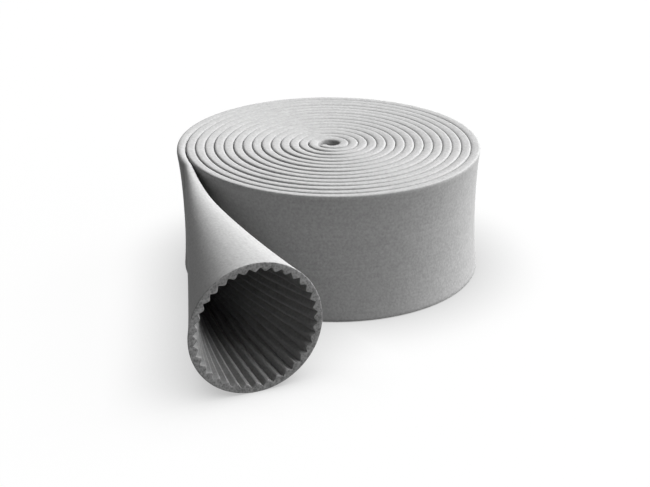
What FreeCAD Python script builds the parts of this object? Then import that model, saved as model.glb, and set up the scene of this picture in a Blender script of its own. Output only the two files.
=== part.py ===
"""Coil of ribbed foam sleeve for quietening waste pipes, in millimetres, +Z up.

The sleeve is one long extrusion of closed-cell foam: a tube with a smooth skin outside and
triangular ribs along the whole of its bore. It is pressed flat and wound into a coil that lies
on its side folds. The outer end leaves the coil on the -X side, runs off towards -Y and opens
out into its round mouth, where the ribs show.

The mouth faces -Y. The origin is on the floor, under the middle of the whole piece's extents;
everything is built about the coil's axis and moved there at the end.
"""

import math
import os

import FreeCAD
import Part
from FreeCAD import Vector

# ---------------------------------------------------------------- driving dimensions
PIPE_DIAMETER = 110.0  # pipe that the sleeve is made for, and the bore across the rib tips
WALL_AT_RIBS = 8.0  # wall from the outer skin to a rib's tip
WALL_AT_VALLEYS = 4.4  # wall from the outer skin to the bottom of a valley
RIB_COUNT = 36
RIB_TIP_SHARE = 0.2  # width of a rib's blunt tip, as a share of the rib spacing

BAND_HEIGHT = 134.0  # the flattened sleeve, from fold to fold
TURN_THICKNESS = 10.0  # one turn of the flattened sleeve: both walls, lightly squeezed
TURN_COUNT = 15
EYE_RADIUS = 9.4  # the open eye in the middle of the coil
SHOULDER_RADIUS = 3.0  # rounding of each fold where neighbouring turns meet

TAIL_REACH = 246.0  # from the coil's axis to the plane of the mouth, along -Y
TAIL_SWING = 16.5  # how far the mouth's axis stands outside the line where the tail leaves
TAIL_OPENING_POWER = 2.85  # how late the flat tail opens; 1 is a plain cone
TAIL_SETTLING_POWER = 3.0  # how soon the band comes down from its own height to the tube's
TAIL_LEAVING_HANDLE = 6.0  # length of the path's handle where it leaves the coil
TAIL_MOUTH_HANDLE = 172.0  # length of the path's handle at the mouth
BORE_END_GAP = 6.0  # clear width between facing rib tips where the bore's cavity stops

# ---------------------------------------------------------------- values that follow
SLEEVE_RADIUS = PIPE_DIAMETER / 2 + WALL_AT_RIBS
COIL_RADIUS = EYE_RADIUS + TURN_COUNT * TURN_THICKNESS
HALF_TURN = TURN_THICKNESS / 2
COIL_AXIS = Vector((TAIL_SWING + SLEEVE_RADIUS) / 2, (TAIL_REACH - COIL_RADIUS) / 2, 0)
RIB_MIDDLE = (WALL_AT_RIBS + WALL_AT_VALLEYS) / 2
RIB_HALF_DEPTH = (WALL_AT_RIBS - WALL_AT_VALLEYS) / 2

WRAP_ARC = math.radians(60)  # stretch of the outer turn that is seen coming proud of the coil
SUNK_START = 1.5  # how far inside the coil that stretch starts
CLEAR_OF_FOLDS = 0.4  # how far its folds stand inside the coil's own
WRAP_STATIONS = 7  # sections of that stretch
TAIL_STATIONS = 15  # sections of the tail's skin
BORE_STATIONS = 9  # sections of the ribbed bore
SKIN_POINTS = 48  # points round the skin of each section
CROWDING = 0.9  # how far those points draw together on the ends of a flat section


def stadium_point(half_width, half_height, share):
    """Point and outward normal on an upright slot shape with rounded ends.

    share runs from 0 to 1 along the outline, from the top, towards +across first.
    """
    straight = 2 * (half_height - half_width)
    cap = math.pi * half_width
    length = (share % 1.0) * 2 * (straight + cap)
    centre = half_height - half_width
    if length <= cap / 2:
        angle = math.pi / 2 - length / half_width
        return rounded(half_width, centre, angle)
    length -= cap / 2
    if length <= straight:
        return (half_width, centre - length), (1.0, 0.0)
    length -= straight
    if length <= cap:
        return rounded(half_width, -centre, -length / half_width)
    length -= cap
    if length <= straight:
        return (-half_width, -centre + length), (-1.0, 0.0)
    length -= straight
    return rounded(half_width, centre, math.pi - length / half_width)


def rounded(radius, centre, angle):
    """Point and normal on a round end whose centre is at that height."""
    normal = (math.cos(angle), math.sin(angle))
    return (radius * normal[0], centre + radius * normal[1]), normal


def skin_shares(half_width, half_height):
    """Where the skin's points stand along the outline, drawn together on narrow round ends."""
    straight = 2 * (half_height - half_width)
    flatness = straight / (straight + math.pi * half_width)
    steps = [i / SKIN_POINTS for i in range(SKIN_POINTS)]
    return [q - CROWDING * flatness * math.sin(4 * math.pi * q) / (4 * math.pi) for q in steps]


class Station:
    """One upright cross-section of the sleeve: where it stands, which way it runs, how open."""

    def __init__(self, middle, along, half_width, half_height, lift):
        self.middle = middle + Vector(0, 0, lift + half_height)
        self.across = Vector(-along.y, along.x, 0)
        self.half_width = half_width
        self.half_height = half_height

    def place(self, across, up):
        return self.middle + self.across * across + Vector(0, 0, up)

    def skin_wire(self):
        shares = skin_shares(self.half_width, self.half_height)
        spots = [stadium_point(self.half_width, self.half_height, s)[0] for s in shares]
        curve = Part.BSplineCurve()
        curve.interpolate(Points=[self.place(*spot) for spot in spots], PeriodicFlag=True)
        return Part.Wire([curve.toShape()])

    def bore_wire(self):
        """The ribbed outline of the bore: a blunt tip and a sharp valley for each rib."""
        spots = []
        for rib in range(RIB_COUNT):
            for offset, height in (
                (-RIB_TIP_SHARE / 2, -RIB_HALF_DEPTH),
                (RIB_TIP_SHARE / 2, -RIB_HALF_DEPTH),
                (0.5, RIB_HALF_DEPTH),
            ):
                spot, normal = stadium_point(
                    self.half_width - RIB_MIDDLE,
                    self.half_height - RIB_MIDDLE,
                    (rib + offset) / RIB_COUNT,
                )
                spots.append(self.place(spot[0] + normal[0] * height, spot[1] + normal[1] * height))
        return Part.makePolygon(spots + spots[:1])


def wrap_station(share):
    """A section of the outer turn, which comes out of the coil to stand half a turn proud."""
    angle = math.pi - WRAP_ARC * (1 - share)
    radius = COIL_RADIUS - (HALF_TURN + SUNK_START) * (1 - share)
    middle = Vector(radius * math.cos(angle), radius * math.sin(angle), 0)
    along = Vector(-math.sin(angle), math.cos(angle), 0)
    return Station(middle, along, HALF_TURN, BAND_HEIGHT / 2 - CLEAR_OF_FOLDS, CLEAR_OF_FOLDS)


def tail_path():
    """The line that the tail's middle follows, seen from above."""
    mouth_x = -COIL_RADIUS - TAIL_SWING
    path = Part.BezierCurve()
    path.setPoles(
        [
            Vector(-COIL_RADIUS, 0, 0),
            Vector(-COIL_RADIUS, -TAIL_LEAVING_HANDLE, 0),
            Vector(mouth_x, -TAIL_REACH + TAIL_MOUTH_HANDLE, 0),
            Vector(mouth_x, -TAIL_REACH, 0),
        ]
    )
    return path


def tail_steps(start, count):
    """Values of t from start to the mouth, evenly spread by length along the path."""
    path = tail_path()
    length = path.length(start, 1)
    inner = [path.parameterAtDistance(length * i / (count - 1), start) for i in range(1, count - 1)]
    return [start] + inner + [1.0]


def tail_station(t):
    """A section of the tail, with t from 0 at the coil to 1 at the mouth."""
    path = tail_path()
    unsettled = (1 - t) ** TAIL_SETTLING_POWER
    half_width = HALF_TURN + (SLEEVE_RADIUS - HALF_TURN) * t**TAIL_OPENING_POWER
    flat_height = BAND_HEIGHT / 2 - CLEAR_OF_FOLDS
    half_height = SLEEVE_RADIUS + (flat_height - SLEEVE_RADIUS) * unsettled
    lift = CLEAR_OF_FOLDS * unsettled
    return Station(path.value(t), path.tangent(t)[0], half_width, half_height, lift)


def bore_start():
    """t where facing rib tips have come within BORE_END_GAP of each other."""
    wanted = WALL_AT_RIBS + BORE_END_GAP / 2
    return ((wanted - HALF_TURN) / (SLEEVE_RADIUS - HALF_TURN)) ** (1 / TAIL_OPENING_POWER)


def wound_turns():
    """The turned coil: flat crowned folds with a groove between each turn and the next."""
    edges = []
    corner = SHOULDER_RADIUS
    turn = 1 - math.sqrt(0.5)
    for side in (0, 1):
        base = BAND_HEIGHT * side
        inward = 1 - 2 * side
        for ring in range(TURN_COUNT):
            inner = EYE_RADIUS + ring * TURN_THICKNESS
            outer = inner + TURN_THICKNESS

            def spot(radius, depth):
                return Vector(radius, 0, base + inward * depth)

            edges.append(
                Part.Arc(
                    spot(inner, corner),
                    spot(inner + corner * turn, corner * turn),
                    spot(inner + corner, 0),
                ).toShape()
            )
            edges.append(Part.LineSegment(spot(inner + corner, 0), spot(outer - corner, 0)).toShape())
            edges.append(
                Part.Arc(
                    spot(outer - corner, 0),
                    spot(outer - corner * turn, corner * turn),
                    spot(outer, corner),
                ).toShape()
            )
    for radius in (EYE_RADIUS, COIL_RADIUS):
        low, high = Vector(radius, 0, corner), Vector(radius, 0, BAND_HEIGHT - corner)
        edges.append(Part.LineSegment(low, high).toShape())
    wire = Part.Wire(Part.__sortEdges__(edges))
    return Part.Face(wire).revolve(Vector(0, 0, 0), Vector(0, 0, 1), 360)


def loft(wires, ruled):
    return Part.makeLoft(wires, True, ruled)


def tail_skin():
    stations = [wrap_station(i / WRAP_STATIONS) for i in range(WRAP_STATIONS)]
    stations += [tail_station(t) for t in tail_steps(0.0, TAIL_STATIONS)]
    return loft([station.skin_wire() for station in stations], False)


def tail_bore():
    """The ribbed cavity, from where the ribs nearly meet out to the plane of the mouth."""
    steps = tail_steps(bore_start(), BORE_STATIONS)
    return loft([tail_station(t).bore_wire() for t in steps], False)


def stands_at_mouth(face):
    box = face.BoundBox
    return max(abs(box.YMin + TAIL_REACH), abs(box.YMax + TAIL_REACH)) < 1e-4


def hollowed(body, cavity):
    """The body with the cavity open at the mouth: their skins joined by a ring-shaped end face."""
    outer = [face for face in body.Faces if not stands_at_mouth(face)]
    inner = [face for face in cavity.Faces if not stands_at_mouth(face)]
    ends = [face for face in body.Faces + cavity.Faces if stands_at_mouth(face)]
    ring = Part.Face([end.OuterWire for end in ends])
    hollow = Part.Solid(Part.Shell(outer + inner + [ring]))
    hollow.fix(1e-4, 1e-4, 1e-3)  # turns every face outwards
    return hollow


def foam_sleeve():
    body = wound_turns().fuse(tail_skin())
    sleeve = hollowed(body, tail_bore())
    print("valid", body.isValid(), sleeve.isValid(), "closed", sleeve.isClosed())
    print("solids", len(sleeve.Solids), "volume", round(sleeve.Volume))
    sleeve.translate(COIL_AXIS)
    return sleeve.Solids[0]


def main():
    os.makedirs("parts", exist_ok=True)
    sleeve = foam_sleeve()
    box = sleeve.BoundBox
    print("box", [round(v, 2) for v in (box.XMin, box.YMin, box.ZMin, box.XMax, box.YMax, box.ZMax)])
    sleeve.exportStep("parts/foam_sleeve.step")


main()
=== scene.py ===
"""Coil of ribbed foam pipe sleeve, laid out as a Blender add-on and run as a script.

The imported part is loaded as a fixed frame. Its one solid is replaced by the real winding: a
flattened foam tube on an Archimedean spiral, whose outer end runs off and opens into its mouth.
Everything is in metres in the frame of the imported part.
"""

import math

import bpy
import numpy as np
from bpy.props import FloatProperty, FloatVectorProperty, IntProperty, PointerProperty
from bpy.types import Operator, Panel, PropertyGroup
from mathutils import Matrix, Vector


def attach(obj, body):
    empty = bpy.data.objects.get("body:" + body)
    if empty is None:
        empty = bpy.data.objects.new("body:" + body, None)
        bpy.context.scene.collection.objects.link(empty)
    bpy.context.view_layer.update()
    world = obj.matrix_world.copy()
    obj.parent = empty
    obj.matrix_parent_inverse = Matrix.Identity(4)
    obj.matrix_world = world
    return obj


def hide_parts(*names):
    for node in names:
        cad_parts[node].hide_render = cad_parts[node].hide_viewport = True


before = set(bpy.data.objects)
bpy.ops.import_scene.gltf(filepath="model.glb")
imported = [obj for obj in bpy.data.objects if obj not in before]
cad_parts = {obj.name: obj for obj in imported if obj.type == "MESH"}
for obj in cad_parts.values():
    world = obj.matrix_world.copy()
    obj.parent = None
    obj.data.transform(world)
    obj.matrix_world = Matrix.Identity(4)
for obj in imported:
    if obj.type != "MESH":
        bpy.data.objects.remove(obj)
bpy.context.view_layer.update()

bl_info = {
    "name": "Coiled foam pipe sleeve",
    "version": (1, 0, 0),
    "blender": (4, 5, 0),
    "location": "View3D > Sidebar > Foam sleeve",
    "description": "Builds a coil of ribbed foam sleeve with its open tail, and its stage",
    "category": "Object",
}

SOLID = "foam_sleeve"
MM = 0.001
SLUMP_TURN = math.radians(-83)  # the way that the coil's foot has shifted
COIL_END = math.radians(120)  # where the wound piece ends and the tail piece takes over
COIL_ROWS, COIL_COLUMNS = 1290, 72
WRAP_ROWS, TAIL_ROWS, BORE_ROWS = 25, 74, 60
POINTS_PER_RIB = 6
OPENING_POWER, OPENING_ROUNDING = 3.05, 0.93
SETTLING_LEAD, SETTLING_RUN = 20 * MM, 110 * MM
ROUNDING_RUN = 120 * MM  # how long before the tail leaves its folds begin to round
BAND_CROWN, TUBE_CROWN = 3.0, 2.0  # powers: squarish on the band, round on the tube
WAIST_POWER = 2.4
HOLDING_RUN = 70 * MM  # the coil's waist and lean fade out of the tail over this
FINE = 4000  # steps for measuring along the tail
UNEVEN_SEED, CUT_SEED = 5, 11


def linear(hex_colour):
    """sRGB hex to linear: c / 12.92 up to 0.04045, then ((c + 0.055) / 1.055) ** 2.4."""
    parts = [int(hex_colour[i : i + 2], 16) / 255 for i in (1, 3, 5)]
    return tuple(c / 12.92 if c <= 0.04045 else ((c + 0.055) / 1.055) ** 2.4 for c in parts)


# ---------------------------------------------------------------- what a user may change


def size(name, millimetres, words, **more):
    return FloatProperty(
        name=name, description=words, default=millimetres * MM, unit="LENGTH", precision=4, **more
    )


def colour(name, hex_colour, words):
    return FloatVectorProperty(
        name=name, description=words, default=linear(hex_colour), subtype="COLOR", min=0, max=1
    )


class SleeveSizes(PropertyGroup):
    sleeve_radius: size("Sleeve radius", 63.6, "Outside radius of the round, open sleeve")
    wall_at_ribs: size("Wall at ribs", 8.4, "From the skin to the tip of a rib")
    wall_at_valleys: size("Wall at valleys", 4.8, "From the skin to the bottom of a valley")
    rib_count: IntProperty(name="Ribs", description="Ribs round the bore", default=36, min=6)
    band_height: size("Band height", 134.0, "The flattened sleeve from fold to fold")
    turn_thickness: size("Turn thickness", 10.0, "Both walls of one turn, lightly squeezed")
    coil_radius: size("Coil radius", 159.4, "Middle of the band where the tail leaves the coil")
    turns: FloatProperty(
        name="Turns", description="Turns from the inner end to the tail", default=14.955
    )
    waist: size("Waist", 3.6, "How far the coil's side draws in at half its height")
    taper: size("Taper", 1.6, "How much less the coil's radius is at its foot")
    slump: size("Slump", 4.6, "How far the coil's foot stands out from under its top")
    groove_gap: size("Groove gap", 0.3, "Clear width between neighbouring turns")
    fold_tilt: FloatProperty(
        name="Fold tilt", description="Slope of each upper fold, down towards the eye", default=0.09
    )
    fold_drop: size("Fold drop", 2.3, "Height of the crowned fold above its straight sides")
    tail_reach: size("Tail reach", 246.0, "From the coil's axis to the plane of the mouth")
    tail_swing: size("Tail swing", 15.6, "How far the mouth's axis stands outside the coil's")
    leaving_handle: size("Leaving handle", 9.0, "Length of the path's handle at the coil")
    mouth_handle: size("Mouth handle", 181.0, "Length of the path's handle at the mouth")
    tail_bow: size("Tail bow", 3.0, "How far outside the mouth's axis that handle ends")
    unevenness: size("Unevenness", 0.12, "How far the folds wander from a true spiral")


class SleeveColours(PropertyGroup):
    skin: colour("Foam skin", "#AEAEAE", "Smooth closed skin outside and in the bore")
    skin_dark: colour("Foam skin, dark", "#909090", "The darker mottling of the skin")
    cut: colour("Cut foam", "#A2A2A2", "Open cells where the sleeve was cut square")
    # the darker tone of the cut cells' hollows is painted shade in their grain
    cut_grain_hollow_shade: colour("Cut foam, dark", "#6C6C6C", "The hollows of the cut cells")
    floor: colour("Floor", "#D2D2D2", "Plain pale floor")
    floor_bounce: colour("Floor bounce", "#3A3A3A", "The floor as it lights the sleeve")


# ---------------------------------------------------------------- shapes


def smooth(x):
    """3x^2 - 2x^3 between 0 and 1."""
    x = np.clip(x, 0, 1)
    return x * x * (3 - 2 * x)


def wander(angle, seed, lowest=3, highest=40):
    """Sum over k of w_k sin(k angle / 5 + phase), w_k random and less as 1/sqrt(k), spread one."""
    rng = np.random.default_rng(seed)
    k = np.arange(lowest, highest)
    waves = np.sin(np.outer(angle, k / 5) + rng.uniform(0, 2 * math.pi, k.size))
    weights = rng.normal(size=k.size) / np.sqrt(k)
    return waves @ weights / math.sqrt((weights**2).sum() / 2)


def coil_axis(s):
    """The coil's axis, from the rule that the frame's origin is the middle of the whole."""
    return np.array(
        [(s.tail_swing + s.sleeve_radius) / 2, (s.tail_reach - s.coil_radius) / 2, 0.0]
    )


def wound_path(s, start, end, count):
    """r = coil_radius - thickness (pi - angle) / 2pi, with the angle growing to pi at the tail."""
    angle = np.linspace(start, end, count)
    slope = s.turn_thickness / (2 * math.pi)
    r = s.coil_radius - slope * (math.pi - angle)
    middle = np.stack([r * np.cos(angle), r * np.sin(angle)], 1)
    along = np.stack(
        [slope * np.cos(angle) - r * np.sin(angle), slope * np.sin(angle) + r * np.cos(angle)], 1
    )
    return angle, middle, along / np.linalg.norm(along, axis=1, keepdims=True)


def tail_path(s, t):
    """Cubic Bezier (1-t)^3 A + 3t(1-t)^2 B + 3t^2(1-t) C + t^3 D, from the coil to the mouth."""
    mouth_x = -s.coil_radius - s.tail_swing
    poles = np.array(
        [
            [-s.coil_radius, 0],
            [-s.coil_radius, -s.leaving_handle],
            [mouth_x - s.tail_bow, -s.tail_reach + s.mouth_handle],
            [mouth_x, -s.tail_reach],
        ]
    )
    u = 1 - t
    weights = np.stack([u**3, 3 * t * u**2, 3 * t**2 * u, t**3], 1)
    middle = weights @ poles
    slopes = np.stack([u**2, 2 * t * u, t**2], 1)
    along = slopes @ np.diff(poles, axis=0)
    return middle, along / np.linalg.norm(along, axis=1, keepdims=True)


def even_steps(s, start, count):
    """Values of t from start to 1, an equal distance apart along the tail's path."""
    fine = np.linspace(start, 1, FINE)
    middle, _ = tail_path(s, fine)
    run = np.concatenate([[0], np.cumsum(np.linalg.norm(np.diff(middle, axis=0), axis=1))])
    return np.interp(np.linspace(0, run[-1], count), run, fine)


def settled(s, gone):
    """Half height: the band's comes down to the tube's, from a little before the tail leaves."""
    band = s.band_height / 2
    return band + (s.sleeve_radius - band) * smooth((gone + SETTLING_LEAD) / SETTLING_RUN)


def tail_opening(s, t):
    """Half width a + (R - a)(1 - (1 - t^p)^q), and the half height at that distance."""
    flat = s.turn_thickness / 2 - s.groove_gap / 2
    share = 1 - (1 - t**OPENING_POWER) ** OPENING_ROUNDING
    half_width = flat + (s.sleeve_radius - flat) * share
    gone = -tail_path(s, t)[0][:, 1]
    return half_width, np.maximum(settled(s, gone), half_width)


def bore_start(s, gap):
    """t at which facing rib tips stand that gap apart."""
    fine = np.linspace(0, 1, FINE)
    half_width, _ = tail_opening(s, fine)
    return float(np.interp(s.wall_at_ribs + gap / 2, half_width, fine))


def slot_outline(half_width, half_height, share):
    """Centre and normal on an upright slot shape, at a share of its outline.

    The outline runs from the top towards +across: a quarter turn of radius a, a straight of
    2(b - a), a half turn, a straight and a quarter turn. Rows are stations, columns are shares.
    """
    a, b = half_width[:, None], half_height[:, None]
    straight, cap = 2 * (b - a), math.pi * a
    length = np.mod(share, 1.0) * 2 * (straight + cap)
    ends = [cap / 2, cap / 2 + straight, 1.5 * cap + straight, 1.5 * cap + 2 * straight]
    in_side = (length > ends[0]) & (length <= ends[1])
    in_foot = (length > ends[1]) & (length <= ends[2])
    in_back = (length > ends[2]) & (length <= ends[3])
    in_head = length > ends[3]
    turn = length / a
    turn = np.where(in_side, math.pi / 2, turn)
    turn = np.where(in_foot, math.pi / 2 + (length - ends[1]) / a, turn)
    turn = np.where(in_back, 1.5 * math.pi, turn)
    turn = np.where(in_head, 1.5 * math.pi + (length - ends[3]) / a, turn)
    centre = np.where(in_foot, a - b, b - a)
    centre = np.where(in_side, b - a - (length - ends[0]), centre)
    centre = np.where(in_back, a - b + (length - ends[2]), centre)
    normal = np.stack([np.sin(turn), np.cos(turn)], -1)
    return centre, normal


def skin_outline(half_width, half_height, fold_drop, power, tilt, share):
    """The slot with its round ends crowned: across a |sin|^(2/n), up c |cos|^(2/n).

    The upper end slopes by tilt towards +across, the inner side of a turn.
    """
    centre, normal = slot_outline(half_width, half_height, share)
    a, b = half_width[:, None], half_height[:, None]
    c, n = fold_drop[:, None], power[:, None]
    across = a * np.sign(normal[..., 0]) * np.abs(normal[..., 0]) ** (2 / n)
    up = c * np.sign(normal[..., 1]) * np.abs(normal[..., 1]) ** (2 / n)
    straight = np.divide(b - c, b - a, out=np.ones_like(b), where=b - a > 1e-6)
    up = up - tilt[:, None] * across * np.clip(normal[..., 1], 0, 1) ** 0.5
    return across, np.where(b - a > 1e-6, centre * straight, 0.0) + up


def crowned(s, half_width, gone=-1.0):
    """Fold height, crown power and tilt: flat-topped on the band, round on the tube."""
    flat = s.turn_thickness / 2
    opened = np.maximum(smooth((half_width - flat) / (3 * flat)), smooth(gone / ROUNDING_RUN + 1))
    drop = s.fold_drop + (half_width - s.fold_drop) * opened
    power = BAND_CROWN - (BAND_CROWN - TUBE_CROWN) * opened
    return np.minimum(drop, half_width), power, s.fold_tilt * (1 - opened)


def crowd(share, flatness):
    """q - k sin(4 pi q) / 4 pi draws the points together on the folds."""
    return share - flatness * np.sin(4 * math.pi * share) / (4 * math.pi)


def rib_profile(s, count_per_rib):
    """Share and height of the bore's outline: a blunt tip of a fifth, then straight flanks."""
    middle = (s.wall_at_ribs + s.wall_at_valleys) / 2
    half = (s.wall_at_ribs - s.wall_at_valleys) / 2
    steps = np.linspace(-0.5, 0.5, count_per_rib, endpoint=False)
    place = np.interp(steps, [-0.5, -1 / 6, 0, 1 / 6, 0.5], [-0.5, -0.1, 0, 0.1, 0.5])
    height = np.interp(np.abs(place), [0, 0.1, 0.5], [-half - 0.12 * MM, -half, half])
    share = (np.arange(s.rib_count)[:, None] + place) / s.rib_count
    return share.ravel(), np.tile(height, s.rib_count), middle


def bore_outline(half_width, half_height, middle, height, share):
    """The slot, a wall's thickness inside the skin, moved along its normal by the ribs' height."""
    a, b = half_width - middle, half_height - middle
    centre, normal = slot_outline(a, b, share)
    across = a[:, None] * normal[..., 0] + height * normal[..., 0]
    up = centre + a[:, None] * normal[..., 1] + height * normal[..., 1]
    return across, up


def stood(middle, along, across, up, half_height):
    """Puts outlines upright on the floor across their path: middle + left x across, z = up + b."""
    left = np.stack([-along[:, 1], along[:, 0]], 1)
    flat = middle[:, None, :] + left[:, None, :] * across[..., None]
    return np.concatenate([flat, (up + half_height[:, None])[..., None]], -1)


def pinched(s, points, weight):
    """Draws points in at half height, r (1 - waist/R (1 - |zeta|^p)), and leans the coil."""
    zeta = np.abs(2 * points[..., 2] / s.band_height - 1)
    low = np.clip(1 - points[..., 2] / s.band_height, 0, 1) * weight
    draw = s.waist * (1 - np.clip(zeta, 0, 1) ** WAIST_POWER) * weight + s.taper * low
    points[..., :2] *= (1 - draw / s.coil_radius)[..., None]
    lean = np.array([math.cos(SLUMP_TURN), math.sin(SLUMP_TURN)])
    points[..., :2] += s.slump * low[..., None] * lean
    return points


def uneven(s, points, angle, seed, weight=1.0):
    """Lets the upper folds rise and sink and both folds lean a little, as wound by hand."""
    high = np.clip(points[..., 2] / s.band_height, 0, 1) ** 6
    lean = np.clip(2 * points[..., 2] / s.band_height - 1, -1, 1) ** 3
    points[..., 2] += high * (wander(angle, seed) * s.unevenness * weight)[:, None]
    radial = points[..., :2] / np.linalg.norm(points[..., :2], axis=-1, keepdims=True)
    shift = lean * (wander(angle, seed + 1) * s.unevenness * 0.6 * weight)[:, None]
    points[..., :2] += radial * shift[..., None]
    return points


def coil_points(s):
    """Rows of the wound part: the inner end's slit and rim, then the spiral up to the tail."""
    share = crowd(np.linspace(0, 1, COIL_COLUMNS, endpoint=False), 0.86)
    start = math.pi - 2 * math.pi * s.turns
    angle, middle, along = wound_path(s, start, COIL_END, COIL_ROWS)
    a = np.full(angle.size, s.turn_thickness / 2 - s.groove_gap / 2)
    b = np.full(angle.size, s.band_height / 2)
    across, up = skin_outline(a, b, *crowned(s, a), share)
    rows = stood(middle, along, across, up, b)
    rows = uneven(s, pinched(s, rows, 1.0), angle, UNEVEN_SEED)
    # the inner end: its rim is rounded over, and the pressed walls part in a narrow slit
    inset = np.array([0.99, 0.90, 0.62, 0.30, 0.16, 0.10, 0.045, 0.0]) * a[0]
    depth = np.array([6.0, 4.6, 2.2, 0.5, 0.05, 0.0, 0.1, 0.6]) * MM
    thin, tall = a[0] - inset, b[0] - inset
    drop, power, tilt = (value.repeat(thin.size) for value in crowned(s, a[:1]))
    across, up = skin_outline(thin, tall, np.minimum(drop, thin), power - 0.7, tilt, share)
    spot = np.repeat(middle[:1], thin.size, 0) + along[:1] * (depth[:, None] - 0.6 * MM)
    end = stood(spot, np.repeat(along[:1], thin.size, 0), across, up, b[:1].repeat(thin.size))
    end = pinched(s, end, 1.0)
    return np.concatenate([end[:-1], rows])


def tail_points(s):
    """Rows of the tail: its skin from the coil to the mouth, the cut face, and the bore back in."""
    share, height, wall = rib_profile(s, POINTS_PER_RIB)
    turning, wrap, wrap_along = wound_path(s, COIL_END, math.pi, WRAP_ROWS + 1)
    t = even_steps(s, 0.0, TAIL_ROWS)
    path, path_along = tail_path(s, t)
    middle = np.concatenate([wrap[:-1], path])
    along = np.concatenate([wrap_along[:-1], path_along])
    a, b = tail_opening(s, t)
    gone = np.concatenate([(turning[:-1] - math.pi) * s.coil_radius, -path[:, 1]])
    a = np.concatenate([np.full(WRAP_ROWS, a[0]), a])
    b = np.concatenate([settled(s, gone[:WRAP_ROWS]), b])
    across, up = skin_outline(a, b, *crowned(s, a, gone), share)
    skin = stood(middle, along, across, up, b)
    held = 1 - smooth(gone / HOLDING_RUN)
    reach = math.pi + gone / s.coil_radius
    skin = uneven(s, pinched(s, skin, held[:, None]), reach, UNEVEN_SEED, held)
    # the bore
    deep = even_steps(s, bore_start(s, 0.5 * MM), BORE_ROWS)[::-1]
    inner_path, inner_along = tail_path(s, deep)
    bore_a, bore_b = tail_opening(s, deep)
    across, up = bore_outline(bore_a, bore_b, wall, height, share)
    bore = stood(inner_path, inner_along, across, up, bore_b)
    # the cut face, with both its edges a little rounded and its cells a little rough
    f = np.array([0.012, 0.05, 0.16, 0.3, 0.44, 0.58, 0.72, 0.86, 0.95, 0.988])[:, None, None]
    back = np.array([0.22, 0.05, 0, 0, 0, 0, 0, 0, 0.05, 0.22])[:, None] * MM
    face = skin[-1] * (1 - f) + bore[0] * f
    rough = np.random.default_rng(CUT_SEED).normal(size=face.shape[:2]) * 0.06 * MM
    face[..., 1] += back + np.abs(rough)
    skin[-1, :, 1] += 0.5 * MM
    bore[0, :, 1] += 0.5 * MM
    return np.concatenate([skin, face, bore]), skin.shape[0], face.shape[0]


# ---------------------------------------------------------------- meshes


def grid_mesh(name, points, materials, bands=()):
    """A closed tube mesh: rows of points joined by quads, with a polygon over each end.

    Vertex i, j is joined to i + 1, j and i, j + 1, and the last column to the first. bands
    gives rows that carry another material, as (first row, last row, material).
    """
    rows, cols = points.shape[:2]
    i, j = np.meshgrid(np.arange(rows - 1), np.arange(cols), indexing="ij")
    k = (j + 1) % cols
    quads = np.stack([i * cols + j, (i + 1) * cols + j, (i + 1) * cols + k, i * cols + k], -1)
    first = list(range(cols))
    last = [(rows - 1) * cols + c for c in reversed(range(cols))]
    mesh = bpy.data.meshes.new(name)
    faces = quads.reshape(-1, 4).tolist() + [first, last]
    mesh.from_pydata(points.reshape(-1, 3).tolist(), [], faces)
    ring = points[rows // 2]
    around = np.linalg.norm(np.diff(ring, axis=0, append=ring[:1]), axis=1)
    across = np.concatenate([[0], np.cumsum(around)])
    run = np.concatenate([[0], np.cumsum(np.linalg.norm(np.diff(points[:, 0], axis=0), axis=1))])
    u = np.stack([across[j], across[j], across[j + 1], across[j + 1]], -1)
    v = np.stack([run[i], run[i + 1], run[i + 1], run[i]], -1)
    uv = np.stack([u, v], -1).reshape(-1, 2)
    uv = np.concatenate([uv, np.zeros((2 * cols, 2))])
    mesh.uv_layers.new(name="UVMap").data.foreach_set("uv", uv.astype(np.float32).ravel())
    for material in materials:
        mesh.materials.append(material)
    index = np.zeros(len(mesh.polygons), np.int32)
    for low, high, number in bands:
        index[low * cols : high * cols] = number
    mesh.polygons.foreach_set("material_index", index)
    mesh.shade_smooth()
    mesh.validate()
    mesh.update()
    piece = bpy.data.objects.new(name, mesh)
    bpy.context.scene.collection.objects.link(piece)
    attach(piece, "root")
    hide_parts(SOLID)
    return piece


# ---------------------------------------------------------------- materials


def node(tree, kind, inputs=None, **settings):
    """Adds a node, sets its properties, and sets or links its inputs: {input: value or socket}."""
    made = tree.nodes.new(kind)
    for key, value in settings.items():
        setattr(made, key, value)
    for key, value in (inputs or {}).items():
        if isinstance(value, bpy.types.NodeSocket):
            tree.links.new(value, made.inputs[key])
        else:
            made.inputs[key].default_value = value
    return made


def new_material(name):
    material = bpy.data.materials.new(name)
    material.use_nodes = True
    material.node_tree.nodes.clear()
    return material, material.node_tree


def opaque(rgb):
    return (*rgb, 1.0)


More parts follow.
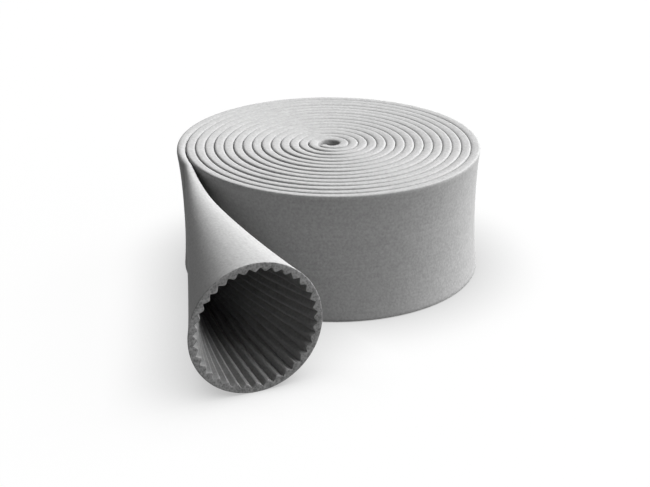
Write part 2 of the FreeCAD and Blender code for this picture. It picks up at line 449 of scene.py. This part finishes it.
def moulded_foam_skin(colours):
    """Closed-cell polyethylene foam with its skin on, as it comes from the extruder.

    The skin is matt with a slight waxy sheen, mottled by the cells just under it, and has
    shallow dimples about 14 mm across and faint streaks along its length.
    """
    material, tree = new_material("extruded_polyethylene_foam_skin")
    place = node(tree, "ShaderNodeTexCoord").outputs["Object"]
    along = node(tree, "ShaderNodeUVMap", uv_map="UVMap").outputs["UV"]
    # cells under the skin: about 2.5 mm, drawn coarser than the real 0.5 mm so that they show
    cells = node(tree, "ShaderNodeTexNoise", {"Vector": place, "Scale": 400.0, "Detail": 3.0})
    # patches of thicker and thinner skin, about 14 mm
    patches = node(tree, "ShaderNodeTexNoise", {"Vector": place, "Scale": 70.0, "Detail": 4.0})
    stretched = node(
        tree, "ShaderNodeMapping", {"Vector": along, "Scale": (420.0, 9.0, 1.0)}
    ).outputs["Vector"]
    streaks = node(tree, "ShaderNodeTexNoise", {"Vector": stretched, "Scale": 1.0, "Detail": 2.0})
    first = node(
        tree, "ShaderNodeMath", {0: cells.outputs["Fac"], 1: 0.4}, operation="MULTIPLY"
    ).outputs[0]
    second = node(
        tree,
        "ShaderNodeMath",
        {0: patches.outputs["Fac"], 1: 0.08, 2: first},
        operation="MULTIPLY_ADD",
    ).outputs[0]
    mottle = node(
        tree,
        "ShaderNodeMath",
        {0: streaks.outputs["Fac"], 1: 0.1, 2: second},
        operation="MULTIPLY_ADD",
    ).outputs[0]
    shade = node(
        tree, "ShaderNodeMapRange", {0: mottle, 1: 0.17, 2: 0.41, 3: 0.0, 4: 1.0}
    ).outputs[0]
    tint = node(
        tree,
        "ShaderNodeMix",
        {0: shade, 6: opaque(colours.skin_dark), 7: opaque(colours.skin)},
        data_type="RGBA",
    ).outputs[2]
    dimples = node(
        tree,
        "ShaderNodeBump",
        {"Height": patches.outputs["Fac"], "Strength": 0.15, "Distance": 1.6 * MM},
    ).outputs[0]
    grain = node(
        tree,
        "ShaderNodeBump",
        {
            "Height": cells.outputs["Fac"],
            "Strength": 0.4,
            "Distance": 0.4 * MM,
            "Normal": dimples,
        },
    ).outputs[0]
    rough = node(
        tree, "ShaderNodeMapRange", {0: cells.outputs["Fac"], 1: 0.3, 2: 0.7, 3: 0.62, 4: 0.82}
    ).outputs[0]
    surface = node(
        tree,
        "ShaderNodeBsdfPrincipled",
        {"Base Color": tint, "Roughness": rough, "Normal": grain, "IOR": 1.36},
    )
    node(tree, "ShaderNodeOutputMaterial", {"Surface": surface.outputs[0]})
    return material


def cut_foam(colours):
    """The same foam where a knife cut it: open cells about 2 mm wide, fully matt, with the hollows
    of the cell grain painted darker as shade.
    """
    material, tree = new_material("knife_cut_polyethylene_foam")
    place = node(tree, "ShaderNodeTexCoord").outputs["Object"]
    cells = node(
        tree, "ShaderNodeTexVoronoi", {"Vector": place, "Scale": 480.0, "Randomness": 1.0}
    ).outputs["Distance"]
    smear = node(
        tree, "ShaderNodeTexNoise", {"Vector": place, "Scale": 260.0, "Detail": 4.0}
    ).outputs["Fac"]
    both = node(
        tree, "ShaderNodeMath", {0: cells, 1: 0.55, 2: smear}, operation="MULTIPLY_ADD"
    ).outputs[0]
    shade = node(
        tree, "ShaderNodeMapRange", {0: both, 1: 0.5, 2: 1.05, 3: 0.0, 4: 1.0}
    ).outputs[0]
    # the cells' pattern is grain, and its darker hollows are painted shade
    tint = node(
        tree,
        "ShaderNodeMix",
        {0: shade, 6: opaque(colours.cut_grain_hollow_shade), 7: opaque(colours.cut)},
        data_type="RGBA",
    ).outputs[2]
    pits = node(
        tree, "ShaderNodeBump", {"Height": both, "Strength": 0.6, "Distance": 0.5 * MM}
    ).outputs[0]
    surface = node(
        tree,
        "ShaderNodeBsdfPrincipled",
        {"Base Color": tint, "Roughness": 0.95, "Normal": pits, "IOR": 1.5},
    )
    node(tree, "ShaderNodeOutputMaterial", {"Surface": surface.outputs[0]})
    return material


def foam_materials(colours):
    """Both foam materials, made once and then shared."""
    skin = bpy.data.materials.get("extruded_polyethylene_foam_skin") or moulded_foam_skin(colours)
    cut = bpy.data.materials.get("knife_cut_polyethylene_foam") or cut_foam(colours)
    return [skin, cut]


def seen_directly(tree):
    """1 for rays from the camera and for those off gloss or through glass, else 0."""
    path = node(tree, "ShaderNodeLightPath").outputs
    either = node(
        tree,
        "ShaderNodeMath",
        {0: path["Is Camera Ray"], 1: path["Is Glossy Ray"]},
        operation="MAXIMUM",
    ).outputs[0]
    return node(
        tree, "ShaderNodeMath", {0: either, 1: path["Is Transmission Ray"]}, operation="MAXIMUM"
    ).outputs[0]


def floor_material(colours):
    """Matt studio board. Seen directly it is mostly lit from within, so it stays pale, and that
    glow is dimmed near the object as a painted contact shadow.

    The light that it throws back on the object is that of a greyer board.
    """
    material, tree = new_material("matt_studio_board")
    board = node(tree, "ShaderNodeBsdfDiffuse", {"Color": opaque(colours.floor)})
    # painted contact shadow: the glow fades where the object stands close over the board
    near = node(tree, "ShaderNodeAmbientOcclusion", {"Distance": 0.09}).outputs["AO"]
    level = node(tree, "ShaderNodeMapRange", {0: near, 1: 0.25, 2: 0.97, 3: 0.5, 4: 1.0})
    glow_with_painted_shadow = node(
        tree, "ShaderNodeEmission", {"Color": (1, 1, 1, 1), "Strength": level.outputs[0]}
    )
    shown = node(
        tree, "ShaderNodeMixShader", {0: 0.97, 1: board.outputs[0], 2: glow_with_painted_shadow.outputs[0]}
    ).outputs[0]
    grey = node(tree, "ShaderNodeBsdfDiffuse", {"Color": opaque(colours.floor_bounce)}).outputs[0]
    mixed = node(tree, "ShaderNodeMixShader", {0: seen_directly(tree), 1: grey, 2: shown})
    node(tree, "ShaderNodeOutputMaterial", {"Surface": mixed.outputs[0]})
    return material


# ---------------------------------------------------------------- operators


def moved(points, s):
    return points + coil_axis(s)


class SLEEVE_OT_wound_coil(Operator):
    """Builds the wound turns of the flattened sleeve"""

    bl_idname = "sleeve.wound_coil"
    bl_label = "Wound coil"

    def execute(self, context):
        s = context.scene.sleeve_sizes
        materials = foam_materials(context.scene.sleeve_colours)
        piece = grid_mesh("wound_coil", moved(coil_points(s), s), materials)
        piece.data.set_sharp_from_angle(angle=math.radians(65))
        return {"FINISHED"}


class SLEEVE_OT_open_tail(Operator):
    """Builds the outer end, which leaves the coil and opens into the ribbed mouth"""

    bl_idname = "sleeve.open_tail"
    bl_label = "Open tail"

    def execute(self, context):
        s = context.scene.sleeve_sizes
        materials = foam_materials(context.scene.sleeve_colours)
        points, skin_rows, face_rows = tail_points(s)
        cut = (skin_rows - 1, skin_rows + face_rows, 1)
        piece = grid_mesh("open_tail", moved(points, s), materials, [cut])
        piece.data.set_sharp_from_angle(angle=math.radians(33))
        return {"FINISHED"}


def direction(turn, height):
    """(cos turn cos height, sin turn cos height, sin height), from degrees."""
    turn, height = math.radians(turn), math.radians(height)
    return Vector(
        (math.cos(turn) * math.cos(height), math.sin(turn) * math.cos(height), math.sin(height))
    )


def lamp(name, turn, height, distance, side, watts):
    """A square soft box that faces the middle of the piece."""
    data = bpy.data.lights.new(name, "AREA")
    data.shape, data.size, data.energy = "SQUARE", side, watts
    lamp_object = bpy.data.objects.new(name, data)
    away = direction(turn, height)
    lamp_object.location = away * distance + Vector((0, 0, 0.06))
    lamp_object.rotation_mode = "QUATERNION"
    lamp_object.rotation_quaternion = away.to_track_quat("Z", "Y")
    bpy.context.scene.collection.objects.link(lamp_object)


class SLEEVE_OT_stage(Operator):
    """Builds the floor, the soft boxes, the world and the camera"""

    bl_idname = "sleeve.stage"
    bl_label = "Stage"

    def execute(self, context):
        scene = context.scene
        s = scene.sleeve_sizes
        half = 8.0
        corners = [(-half, -half, 0), (half, -half, 0), (half, half, 0), (-half, half, 0)]
        board = bpy.data.meshes.new("studio_board")
        board.from_pydata(corners, [], [(0, 1, 2, 3)])
        board.materials.append(floor_material(scene.sleeve_colours))
        floor = bpy.data.objects.new("studio_board", board)
        scene.collection.objects.link(floor)

        lamp("key_soft_box", turn=9, height=38, distance=6.0, side=2.8, watts=640)
        lamp("back_soft_box", turn=75, height=50, distance=4.0, side=2.5, watts=60)
        lamp("front_fill", turn=-46, height=26, distance=4.0, side=2.4, watts=112)

        world = bpy.data.worlds.new("studio")
        world.use_nodes = True
        tree = world.node_tree
        tree.nodes.clear()
        level = node(
            tree, "ShaderNodeMapRange", {0: seen_directly(tree), 1: 0.0, 2: 1.0, 3: 0.1, 4: 1.0}
        ).outputs[0]
        sky = node(tree, "ShaderNodeBackground", {"Color": (1, 1, 1, 1), "Strength": level})
        node(tree, "ShaderNodeOutputWorld", {"Surface": sky.outputs[0]})
        scene.world = world

        data = bpy.data.cameras.new("camera")
        data.sensor_width, data.lens = 36.0, 73.32
        data.clip_end = 30.0
        camera = bpy.data.objects.new("camera", data)
        forward = direction(turn=67.34, height=-23.70)
        camera.location = Vector((-0.5193, -1.2275, 0.6017)) + Vector(coil_axis(s))
        camera.rotation_mode = "QUATERNION"
        camera.rotation_quaternion = forward.to_track_quat("-Z", "Y")
        scene.collection.objects.link(camera)
        scene.camera = camera
        scene.view_settings.view_transform = "Standard"
        return {"FINISHED"}


class SLEEVE_PT_sidebar(Panel):
    """Lists the sizes, the colours and the operators"""

    bl_idname = "SLEEVE_PT_sidebar"
    bl_label = "Foam sleeve"
    bl_space_type = "VIEW_3D"
    bl_region_type = "UI"
    bl_category = "Foam sleeve"

    def draw(self, context):
        for title, group in (
            ("Sizes", context.scene.sleeve_sizes),
            ("Colours", context.scene.sleeve_colours),
        ):
            box = self.layout.box()
            box.label(text=title)
            for name in group.__annotations__:
                box.prop(group, name)
        for operator in OPERATORS:
            self.layout.operator(operator.bl_idname)


OPERATORS = (SLEEVE_OT_wound_coil, SLEEVE_OT_open_tail, SLEEVE_OT_stage)
CLASSES = (SleeveSizes, SleeveColours, *OPERATORS, SLEEVE_PT_sidebar)


def register():
    for each in CLASSES:
        bpy.utils.register_class(each)
    bpy.types.Scene.sleeve_sizes = PointerProperty(type=SleeveSizes)
    bpy.types.Scene.sleeve_colours = PointerProperty(type=SleeveColours)


def unregister():
    del bpy.types.Scene.sleeve_colours
    del bpy.types.Scene.sleeve_sizes
    for each in reversed(CLASSES):
        bpy.utils.unregister_class(each)


def main():
    register()
    bpy.ops.sleeve.wound_coil()
    bpy.ops.sleeve.open_tail()
    bpy.ops.sleeve.stage()


if __name__ == "__main__":
    main()
